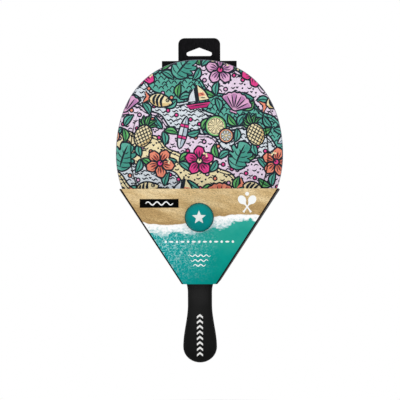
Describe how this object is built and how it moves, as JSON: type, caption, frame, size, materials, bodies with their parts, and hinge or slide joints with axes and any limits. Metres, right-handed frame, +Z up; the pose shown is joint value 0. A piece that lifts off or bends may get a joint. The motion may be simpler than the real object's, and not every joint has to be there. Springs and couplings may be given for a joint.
{
  "type": "beach game paddle",
  "caption": "Padded beach game paddle with a soft waisted grip, standing in a tapered card sleeve with a rubber ball in a round hole and a peg-slot hang card.",
  "frame": {"origin": "where the peg bears: the top of the peg slot, midway through the hang card", "axes": "+Z up as the pack hangs, the printed front faces -Y, +X to the right seen from the front"},
  "size_m": [0.2106, 0.0565, 0.4092],
  "materials": {
    "core_board": "sanded plywood",
    "printed_cover": "printed knit over foam",
    "seam_cord": "corded thread",
    "grip_foam": "matte foam",
    "ball_rubber": "satin",
    "printed_card": "printed satin",
    "black_card": "matte"
  },
  "bodies": {
    "pack": {"sleeve_front_panel": "printed_card", "sleeve_left_side": "black_card", "sleeve_right_side": "black_card", "sleeve_back_panel": "black_card", "sleeve_glue_flap": "black_card", "hang_card": "black_card"},
    "paddle": {"paddle_core": "core_board", "front_cover": "printed_cover", "rear_cover": "printed_cover", "edge_seam": "seam_cord", "grip": "grip_foam"},
    "ball": {"ball_front_half": "ball_rubber", "ball_rear_half": "ball_rubber"}
  },
  "joints": [
    {"name": "paddle_slide", "type": "slide", "parent": "pack", "child": "paddle", "axis": [0, 0, 1], "range_m": [0, 0.225]},
    {"name": "ball_pull", "type": "slide", "parent": "pack", "child": "ball", "axis": [0, -1, 0], "range_m": [0, 0.03]}
  ]
}
